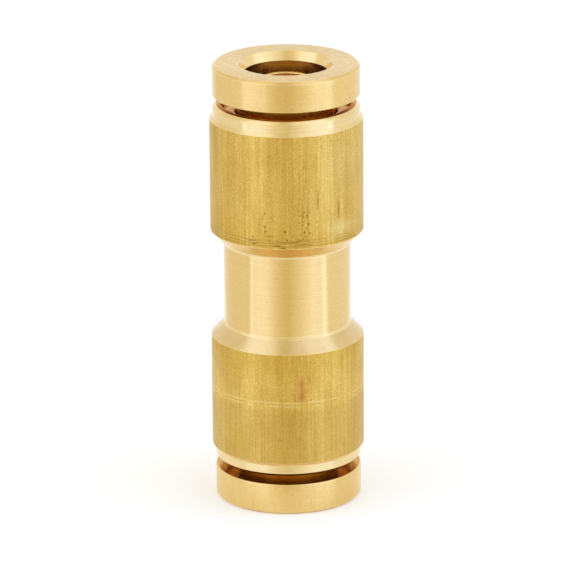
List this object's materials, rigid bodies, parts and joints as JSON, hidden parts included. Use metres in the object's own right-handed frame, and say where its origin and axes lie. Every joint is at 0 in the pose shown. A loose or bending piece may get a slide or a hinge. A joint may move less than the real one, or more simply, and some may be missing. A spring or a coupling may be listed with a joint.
{
  "type": "push fit coupling",
  "caption": "Straight brass push-fit tube coupling: a waisted round body with a spring-fingered release collet in the socket at each end.",
  "frame": {"origin": "centre of the lower collet's end face, on which the coupling stands", "axes": "+Z along the tube axis, from the lower socket to the upper one; +Y away from the side seen in the picture"},
  "size_m": [0.012, 0.012, 0.0352],
  "materials": {
    "drawn_brass": "drawn bar, satin along the axis, with turned bands and waist",
    "turned_brass": "fine turned, satin",
    "nitrile_rubber": "matt moulded"
  },
  "bodies": {
    "coupling_body": {"body": "drawn_brass", "upper_wedge_bush": "turned_brass", "upper_seal_spacer": "turned_brass", "upper_o_ring": "nitrile_rubber", "upper_tube_support": "turned_brass", "lower_wedge_bush": "turned_brass", "lower_seal_spacer": "turned_brass", "lower_o_ring": "nitrile_rubber", "lower_tube_support": "turned_brass"},
    "upper_release": {"upper_collet": "turned_brass"},
    "lower_release": {"lower_collet": "turned_brass"}
  },
  "joints": [
    {"name": "upper_collet_press", "type": "slide", "parent": "coupling_body", "child": "upper_release", "axis": [0, 0, -1], "range_m": [0, 0.00064]},
    {"name": "lower_collet_press", "type": "slide", "parent": "coupling_body", "child": "lower_release", "axis": [0, 0, 1], "range_m": [0, 0.00064]}
  ]
}
